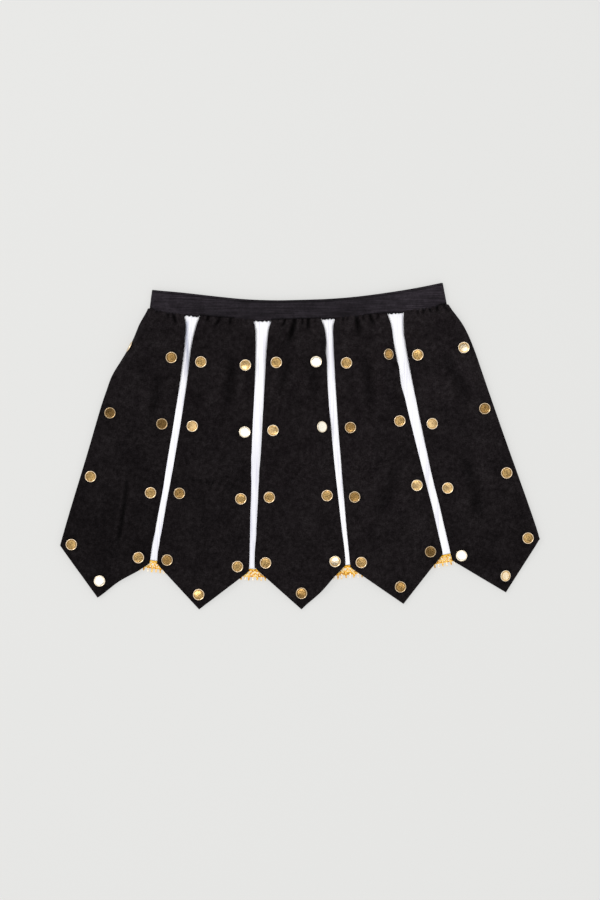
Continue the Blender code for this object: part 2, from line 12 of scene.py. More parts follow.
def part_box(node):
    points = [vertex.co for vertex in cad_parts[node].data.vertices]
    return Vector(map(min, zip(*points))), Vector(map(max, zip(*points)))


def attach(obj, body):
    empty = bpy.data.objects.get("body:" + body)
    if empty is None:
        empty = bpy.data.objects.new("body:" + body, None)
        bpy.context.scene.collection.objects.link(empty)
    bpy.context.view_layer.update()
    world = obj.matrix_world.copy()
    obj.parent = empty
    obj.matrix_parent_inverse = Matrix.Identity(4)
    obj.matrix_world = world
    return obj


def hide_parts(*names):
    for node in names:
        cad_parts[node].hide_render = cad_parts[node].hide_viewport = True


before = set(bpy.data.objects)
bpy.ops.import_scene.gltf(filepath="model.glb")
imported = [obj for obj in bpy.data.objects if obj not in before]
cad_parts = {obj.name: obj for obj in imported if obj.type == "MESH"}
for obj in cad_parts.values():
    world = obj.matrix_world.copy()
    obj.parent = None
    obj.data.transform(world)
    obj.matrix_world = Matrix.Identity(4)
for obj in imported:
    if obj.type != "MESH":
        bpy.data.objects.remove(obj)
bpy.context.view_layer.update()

# Sizes are metres, and millimetres in the tables. The skirt lies on Z = 0 with its waistband towards +Y
MM = 0.001
PANELS = range(1, 6)
SEED = 7

# Photograph frame: a camera straight above, with the image's centre over this point of the skirt
PIXEL = 1.25 * MM
IMAGE_HEIGHT = 900
VIEW_CENTRE = (0.0, -4.7 * MM)
CAMERA_LENS = 100
SENSOR = 36
FOCUS_HEIGHT = 5 * MM

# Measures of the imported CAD, and shells made from its cloth walls
WELD = 0.01 * MM
JOIN_ANGLE = math.radians(50)
RIM_ANGLE = math.radians(52)
RIM_CREASE = 0.55
CORNER_TURN = math.radians(20)
LEVEL_RISE = 0.5
RIM_FACING = 0.7
SIDE_STEP = 3 * MM
BASE_DEPTH = 0.1 * MM
PLAIN_LEVELS = 2
PANEL_LEVELS = 3
BAND_LEVELS = 4

# A stretch of some measure over which something comes in: where it starts and how long it takes
Span = namedtuple("Span", "start run")

# How the pieces lie under the waistband
BAND_LIFT = 0.9 * MM
BAND_MIDDLE = 2.75 * MM
TUCK_LENGTH = 5 * MM
TUCK_REACH = 3.2 * MM
TUCK_TOP = 4.8 * MM
FREE_EDGE = 2.5 * MM
FREE_START = 0.8
FREE_DROPS = {1: 3.0 * MM, 5: 0.8 * MM}
LINING_CLEAR = 4.05 * MM
THINNEST_WALL = 0.8 * MM
NEAR_BAND = 70 * MM
CALM_REACH = 12 * MM
DEEPEST_RELIEF = 0.5 * MM

# Painted shade in the panels' colour, in gathers, in creases and under the band, and painted light on its
# puff
SEAM_SHADE = 1.8 * MM
SHADED_GATHER = 2 * MM
GATHER_SHADE = 0.88
DEEPEST_CREASE = 1.2 * MM
PUFF_LIGHT = 0.4
PUFF_REACH = 14 * MM
HIDDEN_SHADE = 0.85
LIGHT_RANGE = (0.06, 1.6)

# How light each panel's cloth is, near the band and near the hem
Tone = namedtuple("Tone", "high low")
PANEL_TONES = {
    1: Tone(1.02, 0.74),
    2: Tone(0.90, 0.92),
    3: Tone(1.0, 1.0),
    4: Tone(1.08, 1.06),
    5: Tone(1.18, 0.96),
}
TONE_TOP = 0.10
TONE_RUN = 0.22

# Corners of the panels at the band
CORNER_REACH = 9 * MM
CORNER_FADE = 5 * MM
OUTER_PUSH = 3.4 * MM
INNER_PULL = 1.6 * MM

# Bends in the panels' side margins: panel, side, middle and half length down the side, and push outwards
Kink = namedtuple("Kink", "panel side y half push")
KINKS = [Kink(*row) for row in (
    (1, -1, 87.3, 20, 1.1),
    (1, 1, -55, 36, 0.8),
    (1, 1, -124, 20, -0.8),
    (2, -1, -122, 26, 1.2),
    (2, 1, -44, 40, 1.1),
    (3, -1, -40, 34, 0.8),
    (3, -1, -124, 30, 1),
    (3, 1, 118, 14, -1.2),
    (3, 1, -128, 26, 0.9),
    (4, 1, 99, 9, 0.9),
    (4, 1, 76, 18, -1.3),
    (4, 1, -132, 24, 1.2),
    (5, -1, 139, 9, 0.6),
    (5, -1, -40, 34, 0.8),
)]

# Bends in the pointed hems: panel, place, reach and push
HemBend = namedtuple("HemBend", "panel x y reach push_x push_y")
HEM_BENDS = [HemBend(*row) for row in (
    (1, -227.5, -168, 32, -1.1, 2),
    (3, 26, -182, 30, 1.2, -1.3),
)]

# Dimples where the panels are gathered into the band: place, length, lean, half width and depth
Dimple = namedtuple("Dimple", "panel x reach lean width depth")
DIMPLES = [Dimple(*row) for row in (
    (1, -177.6, 7, -0.45, 1.9, 2.6),
    (1, -166, 7, 0.25, 1.6, 2.8),
    (1, -159, 15, 0.3, 2.1, 3.2),
    (1, -149.5, 7, 0, 1.4, 1.4),
    (2, -121, 7, 0, 1.4, 1.2),
    (2, -113.6, 9, -0.45, 1.9, 3),
    (2, -99, 14, -0.6, 2.2, 3.2),
    (2, -86.2, 11, -0.2, 1.9, 2.8),
    (2, -78, 8, 0, 1.6, 1.6),
    (2, -68, 9, 0.1, 1.6, 1.8),
    (3, -27.5, 7, 0, 1.4, 1.2),
    (3, -17.4, 11, -0.6, 1.8, 2.8),
    (3, -6, 34, -0.26, 2.7, 3.2),
    (3, 3.1, 9, 0, 1.6, 2.4),
    (3, 11, 15, -0.1, 2.1, 3.2),
    (3, 19, 7, 0.1, 1.4, 1.4),
    (4, 48.5, 7, 0, 1.4, 1.2),
    (4, 54.4, 9, -0.1, 1.6, 2.2),
    (4, 60.5, 7, -0.3, 1.4, 2),
    (4, 70, 25, 0.2, 2.6, 3.2),
    (4, 79, 9, 0.1, 1.6, 2.4),
    (4, 86.5, 14, 0.45, 2.1, 3.2),
    (4, 97, 9, 0.2, 1.6, 2.2),
    (5, 139, 7, 0.05, 1.4, 1.4),
    (5, 146.9, 9, 0.1, 1.6, 2.4),
    (5, 155, 8, -0.2, 1.8, 2.6),
    (5, 161.5, 9, 0.3, 1.6, 2.4),
    (5, 170.5, 10, 0.2, 1.9, 3.2),
    (5, 178, 11, 0.75, 1.9, 2.8),
)]
DIMPLE_SPREAD = 30 * MM
DIMPLE_HOLD = 0.3

# Main creases of the panels, from end to end, with half width and depth
Crease = namedtuple("Crease", "panel x0 y0 x1 y1 width depth")
CREASES = [Crease(*row) for row in (
    (1, -215.6, -30, -228, -138, 2.6, 0.6),
    (1, -217, -36, -180, -43, 2.4, 0.35),
    (1, -176, 96, -188, 20, 7, 0.5),
    (2, -142, -43, -92, -48, 2.5, 0.6),
    (2, -104, -47, -70, -54, 2.8, 0.5),
    (2, -84, 120, -92, 40, 7, 0.5),
    (3, -14, 118, -26, 60, 6, 0.55),
    (3, 14, 116, 20, 52, 7, 0.4),
    (4, 78, 118, 92, 44, 7, 0.55),
    (4, 122, -20, 96, -96, 8, 0.4),
    (5, 176, 120, 214, 48, 7, 0.5),
    (5, 206, -12, 226, -92, 8, 0.45),
)]
CREASE_BEND = 1.4 * MM
CREASE_TURNS = 5
CREASE_START = 0.25
CREASE_END = 0.35
RIDGE_SHARE = 0.45
RIDGE_PLACE = 2

# Unevenness of cloth that was folded and laid out: wave length, height, direction and start
Ripple = namedtuple("Ripple", "length height turn start")
RIPPLES = [Ripple(*row) for row in (
    (61, 0.22, 0.3, 0.2),
    (43, 0.18, 1.9, 1.1),
    (29, 0.12, 2.6, 2.9),
    (21, 0.1, 0.9, 4.2),
    (14, 0.06, 1.4, 5.1),
    (9.5, 0.035, 2.2, 0.7),
)]
RIPPLE_WIDTH = 2.3
RIPPLE_SWAY = 0.6
PIECE_TURN = 0.37
PIECE_SHIFT = 1.7

# Studs
STUD_RADIUS = 7.2 * MM
STUD_STEPS = 56
STUD_PRESS = 0.45 * MM
STUD_PRESS_REACH = 12 * MM
ProfilePoint = namedtuple("ProfilePoint", "radius height")
STUD_PROFILE = [ProfilePoint(*row) for row in (
    (0, 0.86),
    (2.4, 0.9),
    (4.6, 1),
    (5.6, 1.09),
    (6, 1.15),
    (6.3, 1.33),
    (6.55, 1.42),
    (6.8, 1.36),
    (7.03, 1.12),
    (STUD_RADIUS / MM, 0.62),
    (7.12, 0.2),
    (6.9, 0),
    (0, 0),
)]
STUD_RIM = 6.05 * MM
STUD_DENT = 0.09 * MM
DENT_SIZES = (0.3, 1.0)
LEVELLED = 0.5
LEAN_RANGE = (0.2, 1.2)
STAND_OFF = 0.5
STEEP = 45
STEEP_SINK = 0.3 * MM
FACE_LOW = 0.5
Lean = namedtuple("Lean", "degrees towards")

# Studs that face their own way, as degrees from straight up, and the way they lean from +X
FACINGS = {
    "stud_1_left_1": Lean(82, 152),
    "stud_1_point": Lean(7.9, 312),
    "stud_2_left_2": Lean(5.4, 172),
    "stud_2_right_1": Lean(1.2, 75),
    "stud_2_right_2": Lean(7, 78),
    "stud_3_left_2": Lean(5, 10),
    "stud_3_right_1": Lean(5.1, 95),
    "stud_3_right_4": Lean(3, 262),
    "stud_4_right_3": Lean(5.8, 186),
    "stud_5_left_2": Lean(5.4, 4),
    "stud_5_left_3": Lean(5.8, 176),
    "stud_5_left_4": Lean(7.8, 236),
    "stud_5_right_1": Lean(2.7, 132),
}

# Places where the cloth and the stud on it turn further down together
TURNED = {"stud_3_right_2": Lean(17, 8), "stud_4_right_1": Lean(11, 8), "stud_5_point": Lean(26, 355)}
TURN_REACH = 13 * MM
TURN_DEEPEST = 1.4 * MM
TURN_HIGHEST = 6 * MM
TURN_LIFT = 0.3 * MM
TURN_CLEAR = 0.1 * MM

# How dark the painted reflection on the studs' dished faces is, 0 pale to 1 dark
USUAL_PAINTED_REFLECTION = 0.45
RIM_PAINTED_REFLECTION = 0.2
RING_PAINTED_REFLECTION = 0.33
RING_START = 5.3 * MM
FACE_PAINTED_REFLECTION = 0.25
PaintedReflection = namedtuple("PaintedReflection", "level studs")
PAINTED_REFLECTIONS = (
    PaintedReflection(0.0, ("1_point", "3_right_1", "3_right_2", "5_left_4", "2_right_2")),
    PaintedReflection(0.1, ("5_right_1", "5_point", "3_right_4")),
    PaintedReflection(0.2, ("2_left_2", "3_left_2", "4_right_3", "5_left_2", "5_left_3", "2_right_1")),
    PaintedReflection(0.7, ("1_right_1", "2_left_3", "2_left_4", "3_point", "4_left_2", "4_left_3", "4_point",
               "4_right_1", "5_right_2")),
    PaintedReflection(0.9, ("1_left_2", "1_right_2", "4_right_4")),
)


def painted_reflection_of(node):
    for painted_reflection in PAINTED_REFLECTIONS:
        if node.removeprefix("stud_") in painted_reflection.studs:
            return painted_reflection.level
    return USUAL_PAINTED_REFLECTION


# Braid on the hem: the places of its rows below the hem, and its yarns
BRAID_PITCH = 5 * MM
TWIST_STEPS = 8
Twist = namedtuple("Twist", "below swing yarn")
BORDER = Twist(1.5 * MM, 0.7 * MM, 0.8 * MM)
CHAIN = Twist(9.4 * MM, 0.7 * MM, 0.55 * MM)
RING_DROP = 5.4 * MM
RING_RADIUS = 2.1 * MM
RING_SIZES = (0.9, 1.08)
RING_SHIFT = 0.25 * MM
RING_TALL = 1.15
RING_TWIST = 0.25 * MM
RING_YARN = 0.6 * MM
RING_STEPS = 14
BACKING_DROPS = tuple(drop * MM for drop in (3.3, 4.6, 5.9, 7.2, 8.5))
BACKING_SINK = 0.3 * MM
BACKING_YARN = 0.55 * MM
BACKING_STEPS = 160
DROP_TOP = 10 * MM
DROP_END = 15.2 * MM
DROP_SHORTER = 1.4 * MM
DROP_SWAY = 0.5 * MM
DROP_HALF_WIDTH = 0.38 * MM
DROP_OPENING = 0.85
DROP_TWIST = 0.2 * MM
DROP_YARN = 0.48 * MM
DROP_STEPS = 12
YARN_RISE = 0.35 * MM

# The front hem is drawn up a little at the third strip
HEM_RISE = 2.2 * MM
HEM_RISE_X = 59 * MM
HEM_RISE_HALF = 32 * MM
HEM_RISES = Span(240 * MM, 60 * MM)

# A record for a cloth cut's sizes, in metres: width, length and area
Cut = namedtuple("Cut", "width length area")


def smoothstep(t):
    t = np.clip(t, 0.0, 1.0)
    return t * t * (3 - 2 * t)


def past(value, span):
    """0 up to the span's start, 1 after its end."""
    return smoothstep((value - span.start) / span.run)


def bell(t):
    """1 at 0, falling away on both sides."""
    return np.exp(-(t * t))


def link(obj):
    bpy.context.scene.collection.objects.link(obj)
    return obj


def evaluated_mesh(obj):
    """The mesh that an object's modifiers or its bevel make."""
    bpy.context.view_layer.update()
    return bpy.data.meshes.new_from_object(obj.evaluated_get(bpy.context.evaluated_depsgraph_get()))


def vectors_of(mesh, kind):
    flat = np.empty(len(mesh.vertices) * 3)
    mesh.vertices.foreach_get(kind, flat)
    return flat.reshape(-1, 3)


def points_of(mesh):
    return vectors_of(mesh, "co")


def set_points(mesh, points):
    mesh.vertices.foreach_set("co", np.ascontiguousarray(points, dtype=np.float32).ravel())
    mesh.update()


def quads_of(node):
    """A CAD wall's mesh with its triangles joined back into quads."""
    quads = bmesh.new()
    quads.from_mesh(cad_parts[node].data)
    bmesh.ops.remove_doubles(quads, verts=quads.verts, dist=WELD)
    bmesh.ops.join_triangles(
        quads, faces=quads.faces, angle_face_threshold=JOIN_ANGLE, angle_shape_threshold=JOIN_ANGLE
    )
    return quads


def shell(node, name, levels):
    """A finer copy of a CAD wall: the same form with rounded rims."""
    quads = quads_of(node)
    crease = quads.edges.layers.float.new("crease_edge")
    for edge in quads.edges:
        if len(edge.link_faces) == 2 and edge.calc_face_angle() > RIM_ANGLE:
            edge[crease] = RIM_CREASE
    corner = quads.verts.layers.float.new("crease_vert")
    for vert in quads.verts:
        rims = [edge.other_vert(vert).co - vert.co for edge in vert.link_edges if edge[crease] > 0]
        level = [run for run in rims if abs(run.z) < LEVEL_RISE * run.length]
        if len(level) == 2 and math.pi - level[0].angle(level[1]) > CORNER_TURN:
            vert[corner] = 1.0
    mesh = bpy.data.meshes.new(name)
    quads.to_mesh(mesh)
    quads.free()
    made = link(bpy.data.objects.new(name, mesh))
    finer = made.modifiers.new("finer", "SUBSURF")
    finer.levels = levels
    made.data = evaluated_mesh(made)
    made.data.name = name
    made.modifiers.clear()
    made.data.shade_smooth()
    return made


def finish_piece(obj, material, nodes):
    """Puts the material on a piece that stands for the nodes, and lets it ride on the one body."""
    if material is not None:
        obj.data.materials.clear()
        obj.data.materials.append(material)
    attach(obj, "root")
    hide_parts(*nodes)
    return obj


def rim_curve(node, upper):
    """y of a node's lower or upper rim as a function of x, from its front wall."""
    quads = quads_of(node)
    sign = 1 if upper else -1
    rim = sorted(
        (vert.co.x, vert.co.y)
        for vert in quads.verts
        if vert.co.z > BAND_MIDDLE
        and any(face.normal.y * sign > RIM_FACING for face in vert.link_faces)
    )
    quads.free()
    xs, ys = np.array(rim).T
    return lambda x: np.interp(x, xs, ys)


band_low = rim_curve("waistband", upper=False)
band_high = rim_curve("waistband", upper=True)


def seats_of_studs():
    """Seat point and normal of each stud, measured on its CAD node: the disc's axis and base."""
    seats = {}
    for name in sorted(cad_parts):
        if name.startswith("stud_"):
            points = points_of(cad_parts[name].data)
            centre = (points.min(0) + points.max(0)) / 2
            axis = np.linalg.svd(points - points.mean(0), full_matrices=False)[2][2]
            axis = axis if axis[2] > 0 else -axis
            base = ((points - centre) @ axis).min()
            ring = points[((points - centre) @ axis) < base + BASE_DEPTH]
            seats[name] = (Vector((ring.min(0) + ring.max(0)) / 2), Vector(axis))
    return seats


def gather_depth(panel, x, down):
    """How deep the dimples under the band are at each point of a panel."""
    depth = np.zeros_like(x)
    for dimple in DIMPLES:
        if dimple.panel == panel:
            centre = dimple.x * MM + dimple.lean * down
            half = (dimple.width * MM) * (1 + down / DIMPLE_SPREAD)
            along = 1 - smoothstep(down / (dimple.reach * MM) - DIMPLE_HOLD)
            depth = np.maximum(depth, dimple.depth * MM * bell((x - centre) / half) * along)
    return depth


def crease_depth(panel, x, y):
    """Troughs along the panel's creases, with soft ridges beside them."""
    depth = np.zeros_like(x)
    for crease in CREASES:
        if crease.panel == panel:
            start = np.array((crease.x0, crease.y0)) * MM
            run = np.array((crease.x1, crease.y1)) * MM - start
            length = np.hypot(*run)
            along = ((x - start[0]) * run[0] + (y - start[1]) * run[1]) / length
            away = ((x - start[0]) * -run[1] + (y - start[1]) * run[0]) / length
            bend = CREASE_BEND * np.sin(along / length * CREASE_TURNS)
            shape = (away - bend) / (crease.width * MM)
            ends = smoothstep(along / (CREASE_START * length))
            ends *= smoothstep((length - along) / (CREASE_END * length))
            trough = bell(shape) - RIDGE_SHARE * bell(np.abs(shape) - RIDGE_PLACE)
            depth += crease.depth * MM * trough * ends
    return depth


def ripple_height(seed, x, y):
    """Slight unevenness all over, different on each piece."""
    height = np.zeros_like(x)
    for number, ripple in enumerate(RIPPLES):
        turn = ripple.turn + PIECE_TURN * seed
        start = ripple.start + PIECE_SHIFT * seed
        along = (x * math.cos(turn) + y * math.sin(turn)) / (ripple.length * MM)
        across = (y * math.cos(turn) - x * math.sin(turn)) / (RIPPLE_WIDTH * ripple.length * MM)
        sway = RIPPLE_SWAY * np.sin(math.tau * across + seed + number)
        height += ripple.height * MM * np.sin(math.tau * along + start + sway)
    return height


def stud_press(seats, panel, points):
    """How far the cloth is pressed in round the panel's studs."""
    press = np.zeros(len(points))
    for name, (seat, _) in seats.items():
        if name.startswith(f"stud_{panel}_"):
            away = np.linalg.norm(points - np.array(seat), axis=1)
            share = 1 - smoothstep((away - STUD_RADIUS) / (STUD_PRESS_REACH - STUD_RADIUS))
            press = np.maximum(press, STUD_PRESS * share)
    return press


def turned_normal(node, normal):
    """The way a stud faces that has turned further down together with its cloth."""
    turned = TURNED[node]
    towards = math.radians(turned.towards)
    slope = Vector((math.cos(towards), math.sin(towards), 0))
    return (normal + slope * math.tan(math.radians(turned.degrees)) * normal.z).normalized()


def turn_shift(seats, panel, points):
    """How far the cloth rises or sinks to lie under the panel's turned studs."""
    shift = np.zeros(len(points))
    for name in TURNED:
        if name.startswith(f"stud_{panel}_"):
            seat, normal = seats[name]
            facing = turned_normal(name, normal)
            base = seat + facing * (TURN_LIFT - TURN_CLEAR)
            offset = points[:, :2] - np.array(base)[:2]
            away = np.hypot(offset[:, 0], offset[:, 1])
            along = offset[:, 0] * facing.x + offset[:, 1] * facing.y
            height = base.z - along * np.minimum(1, STUD_RADIUS / np.maximum(away, MM)) / facing.z
            share = 1 - smoothstep((away - STUD_RADIUS) / TURN_REACH)
            shift += np.clip(height - points[:, 2], -TURN_DEEPEST, TURN_HIGHEST) * share
    return shift


def tuck(points, outward, held, drop):
    """Slips the upper edge of a gathered wall under the band where it is held, and lets it drop where not."""
    down = band_low(points[:, 0]) - points[:, 1]
    near = smoothstep((TUCK_LENGTH - down) / TUCK_LENGTH)
    rest = np.where(outward > 0, TUCK_TOP, LINING_CLEAR)
    points[:, 2] += (rest - points[:, 2]) * near * held
    points[:, 1] += TUCK_REACH * near * held - drop * near * (1 - held)
    return points


def store(mesh, name, values):
    """Keeps a value for each point, which a finish reads."""
    layer = mesh.attributes.new(name, "FLOAT", "POINT")
    layer.data.foreach_set("value", np.ascontiguousarray(values, dtype=np.float32))


def measure(made):
    """A piece's points, how far each one faces up, its x and y, and how far it is down from the band."""
    points, up = points_of(made.data), vectors_of(made.data, "normal")[:, 2]
    x, y = points[:, 0].copy(), points[:, 1].copy()
    return points, up, x, y, np.maximum(band_low(x) - y, 0.0)


def sink_gathers(points, up, down, gathers):
    """Presses the dimples into a panel near the band, but not through the lining under it."""
    sunk = points[:, 2] - gathers * np.abs(up)
    lowest = np.where(up > 0, LINING_CLEAR + THINNEST_WALL, LINING_CLEAR)
    held_up = np.maximum(sunk, np.minimum(points[:, 2], lowest))
    points[:, 2] = np.where(down < NEAR_BAND, held_up, points[:, 2])


def bend_margins(panel, points, x, y, down):
    """Moves the panel's corners at the band sideways, and bends its side margins and its hem."""
    from_left, from_right = x - side_of_panel(panel, -1)(y), side_of_panel(panel, 1)(y) - x
    near_left, near_right = (1 - smoothstep(away / CORNER_REACH) for away in (from_left, from_right))
    corner = np.exp(-down / CORNER_FADE)
    points[:, 0] += corner * near_left * (-OUTER_PUSH if panel == PANELS[0] else INNER_PULL)
    points[:, 0] -= corner * near_right * (-OUTER_PUSH if panel == PANELS[-1] else INNER_PULL)
    for kink in KINKS:
        if kink.panel == panel:
            near = near_left if kink.side < 0 else near_right
            along = smoothstep(1 - np.abs(y / MM - kink.y) / kink.half)
            points[:, 0] += kink.side * kink.push * MM * near * along
    for bend in HEM_BENDS:
        if bend.panel == panel:
            near = smoothstep(1 - np.hypot(x - bend.x * MM, y - bend.y * MM) / (bend.reach * MM))
            points[:, 0] += bend.push_x * MM * near
            points[:, 1] += bend.push_y * MM * near


def light_on_panel(panel, y, down, gathers, creases):
    """Painted light and shade for the cloth's colour: a painted highlight on the puff under the band, painted
    shade in gathers and creases.
    """
    tone = PANEL_TONES[panel]
    light = tone.high + (tone.low - tone.high) * smoothstep((TONE_TOP - y) / TONE_RUN)
    light *= 1 + PUFF_LIGHT * np.exp(-down / PUFF_REACH)
    light *= 1 - GATHER_SHADE * (1 - bell(gathers / SHADED_GATHER))
    return light - creases / DEEPEST_CREASE


def make_front_panel(panel, seats, material):
    node = f"front_panel_{panel}"
    made = shell(node, f"suede_{node}", PANEL_LEVELS)
    points, up, x, y, down = measure(made)
    gathers, creases = gather_depth(panel, x, down), crease_depth(panel, x, y)
    sink_gathers(points, up, down, gathers)
    relief = ripple_height(panel, x, y) - creases
    facing = np.clip(up, 0.0, 1.0)
    above = np.maximum(relief, -DEEPEST_RELIEF) * facing
    below = np.maximum(relief, 0.0) * np.clip(-up, 0.0, 1.0)
    press = stud_press(seats, panel, points)
    points[:, 2] += (above + below) * smoothstep(down / CALM_REACH) - press * facing
    points[:, 2] += turn_shift(seats, panel, points) * facing
    bend_margins(panel, points, x, y, down)
    band_left, band_right = (corner.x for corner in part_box("waistband"))
    past_band = np.maximum(band_left - points[:, 0], points[:, 0] - band_right)
    free = smoothstep(past_band / FREE_EDGE + FREE_START)
    set_points(made.data, tuck(points, up, 1 - free, FREE_DROPS.get(panel, 0.0)))
    # Painted shade on the panel's top where it runs under the band's edge
    hidden = (1 - smoothstep(down / SEAM_SHADE)) * (1 - free)
    light = light_on_panel(panel, y, down, gathers, creases)
    store(made.data, "shade", np.clip(light - HIDDEN_SHADE * hidden, *LIGHT_RANGE))
    return finish_piece(made, material, [node])


def make_plain_wall(node, slot, material):
    """A cloth wall just as the CAD has it."""
    made = shell(node, f"{slot}_{node}", PLAIN_LEVELS)
    store(made.data, "shade", np.ones(len(made.data.vertices)))
    return finish_piece(made, material, [node])


@lru_cache(maxsize=None)
def side_of_panel(panel, sign):
    """x of a front panel's left (-1) or right (1) side as a function of y, from its CAD wall."""
    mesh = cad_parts[f"front_panel_{panel}"].data
    ends = np.empty(2 * len(mesh.edges), dtype=int)
    mesh.edges.foreach_get("vertices", ends)
    first, second = points_of(mesh)[ends.reshape(-1, 2)].transpose(1, 0, 2)
    levels = np.arange(min(first[:, 1]) + MM, max(first[:, 1]) - MM, SIDE_STEP)
    sides = []
    for level in levels:
        crosses = (first[:, 1] - level) * (second[:, 1] - level) < 0
        start, end = first[crosses], second[crosses]
        share = (level - start[:, 1]) / (end[:, 1] - start[:, 1])
        sides.append(sign * max(sign * (start[:, 0] + share * (end[:, 0] - start[:, 0]))))
    return lambda y: np.interp(y, levels, sides)


def gap_between(gap):
    """The sides of the strip between a panel and the next, as functions of y."""
    return side_of_panel(gap, 1), side_of_panel(gap + 1, -1)


# Soft folds down the white strips: gap, share across, half width as a share, height, start and reach
StripFold = namedtuple("StripFold", "gap across width height start reach")
STRIP_FOLDS = [StripFold(*row) for row in (
    (1, 0.4, 0.16, 1.5, 4, 120),
    (1, 0.7, 0.1, 0.5, 0, 260),
    (2, 0.3, 0.12, 0.5, 0, 300),
    (2, 0.72, 0.12, 0.7, 8, 300),
    (3, 0.45, 0.14, 0.5, 0, 320),
    (4, 0.3, 0.12, 0.6, 6, 300),
    (4, 0.66, 0.14, 0.5, 0, 320),
)]
GAPS = range(1, 5)
FOLD_RUN = 14
FOLD_HOLD = 0.4
SCALLOP_PITCH = 4.6 * MM
SCALLOP_HEIGHT = 0.55 * MM
SCALLOP_FADE = 11 * MM
STRIP_SWELL = 1.5 * MM
STRIP_TOP_SWELL = 0.8 * MM
STRIP_RAMP = 1.6 * MM
STRIP_LIP = 0.5 * MM
SWELL_STARTS = Span(2 * MM, 8 * MM)
TOP_SWELL_ENDS = Span(30 * MM, 50 * MM)
INNER_SIDE_SHARE = 0.9

# How far the lining's upper corners are drawn in under the band
LINING_DRAWN_IN = 4.5 * MM
DRAWN_IN_FADE = 10 * MM
DRAWN_IN_STARTS = Span(0.15, 0.03)

# Shade along the first strip's main fold, which drifts across, and low down in the two left strips
FOLD_SHADE = 0.45
FOLD_SHADE_HALF = 0.24
FOLD_SHADE_PLACE = 0.05
FOLD_SHADE_DRIFT = 0.8
FOLD_SHADE_DRIFTS = Span(15 * MM, 55 * MM)
FOLD_SHADE_STARTS = Span(4 * MM, 8 * MM)
FOLD_SHADE_ENDS = Span(60 * MM, 30 * MM)
LOW_SHADE = 0.10
LOW_SHADE_STARTS = (240 * MM, 110 * MM)
LOW_SHADE_RUN = 60 * MM
FIRST_STRIP_ACROSS = 2
LEFT_STRIPS_END = -30 * MM


def strip_rise(x, y, down):
    """How far the lining stands up between the panels: a swell, folds and scallops under the band."""
    rise = np.zeros_like(x)
    for gap in GAPS:
        left, right = gap_between(gap)
        start, end = left(y), right(y)
        across = (x - start) / (end - start)
        inside = smoothstep((x - start + STRIP_LIP) / STRIP_RAMP)
        inside *= smoothstep((end + STRIP_LIP - x) / STRIP_RAMP)
        swell = STRIP_SWELL + STRIP_TOP_SWELL * (1 - past(down, TOP_SWELL_ENDS))
        rise += swell * inside * past(down, SWELL_STARTS)
        for fold in STRIP_FOLDS:
            if fold.gap == gap:
                shape = bell((across - fold.across) / fold.width)
                along = smoothstep((down / MM - fold.start) / FOLD_RUN)
                along *= 1 - smoothstep(down / MM / fold.reach - FOLD_HOLD)
                rise += fold.height * MM * shape * along * inside
        wave = 0.5 + 0.5 * np.sin(math.tau * (x - start) / SCALLOP_PITCH + gap)
        rise += SCALLOP_HEIGHT * wave * np.exp(-down / SCALLOP_FADE) * inside
    return rise


# Painted shade along the first strip's drifting fold for the lining's colour, and a darkening low down in the
# two left strips
def light_on_lining(x, y, down):
    left, right = gap_between(1)
    across = (x - left(y)) / (right(y) - left(y))
    centre = FOLD_SHADE_PLACE + FOLD_SHADE_DRIFT * past(down, FOLD_SHADE_DRIFTS)
    fold = bell((across - centre) / FOLD_SHADE_HALF) * past(down, FOLD_SHADE_STARTS)
    fold *= 1 - past(down, FOLD_SHADE_ENDS)
    low_start = np.where(across < FIRST_STRIP_ACROSS, *LOW_SHADE_STARTS)
    low = smoothstep((down - low_start) / LOW_SHADE_RUN) * (x < LEFT_STRIPS_END)
    return 1 - FOLD_SHADE * fold - LOW_SHADE * low


def make_underskirt_front(material):
    made = shell("underskirt_front", "lining_underskirt_front", PANEL_LEVELS)
    points, up, x, y, down = measure(made)
    points[:, 2] += strip_rise(x, y, down) * np.where(up > 0, 1.0, INNER_SIDE_SHARE)
    tucked = smoothstep((TUCK_LENGTH - down) / TUCK_LENGTH)
    points[:, 1] += TUCK_REACH * tucked + hem_rise(x) * past(down, HEM_RISES)
    drawn_in = LINING_DRAWN_IN * np.exp(-down / DRAWN_IN_FADE) * past(np.abs(x), DRAWN_IN_STARTS)
    points[:, 0] -= np.sign(x) * drawn_in
    set_points(made.data, points)
    store(made.data, "shade", light_on_lining(x, y, down))
    return finish_piece(made, material, ["underskirt_front"])


# The band's stitched lower edge waves a little, and more over the white strips
EDGE_DROP = 2.7 * MM
EDGE_DIP = 0.9
EDGE_WAVE = 1.9 * MM
EDGE_WAVE_PITCH = 4.6 * MM
EDGE_WAVE_PANEL = 0.8 * MM
DIPPED_SHARE = Span(0.0, 0.3)
WAVED_SHARE = Span(0.0, 0.16)
GROOVE_UP = 0.90
GROOVE_HALF = 0.028
GROOVE_DEPTH = 0.3 * MM
SEAM_UP = 0.055
SEAM_HALF = 0.035
SEAM_DEPTH = 0.35 * MM
FRONT_WALL = Span(BAND_MIDDLE - MM, 2 * MM)

# The band's left end comes down a little
END_DROP = 3.6 * MM
END_DROPS = Span(0.176, 0.008)
DROPPED_SHARE = Span(0.0, 0.6)

# Slow waves along the band: its sag, and what makes its edge's waves uneven in pitch and height
Sway = namedtuple("Sway", "height length start")
BAND_SAG = (Sway(0.12, 23.0, 0.0), Sway(0.072, 9.0, 1.0))
PITCH_SWAY = (Sway(1.2, 5.0, 0.0),)
HEIGHT_SWAY = (Sway(0.25, 3.1, 2.0),)
USUAL_HEIGHT = 0.75

# The band is lighter towards its ends: side, amount, and where from the middle
Lighter = namedtuple("Lighter", "side amount starts")
BAND_LIGHTER = (Lighter(-1, 0.12, Span(0.08, 0.1)), Lighter(1, 0.42, Span(0.05, 0.13)))


def swaying(x, sways):
    return sum(sway.height * np.sin(x / (sway.length * MM) + sway.start) for sway in sways)


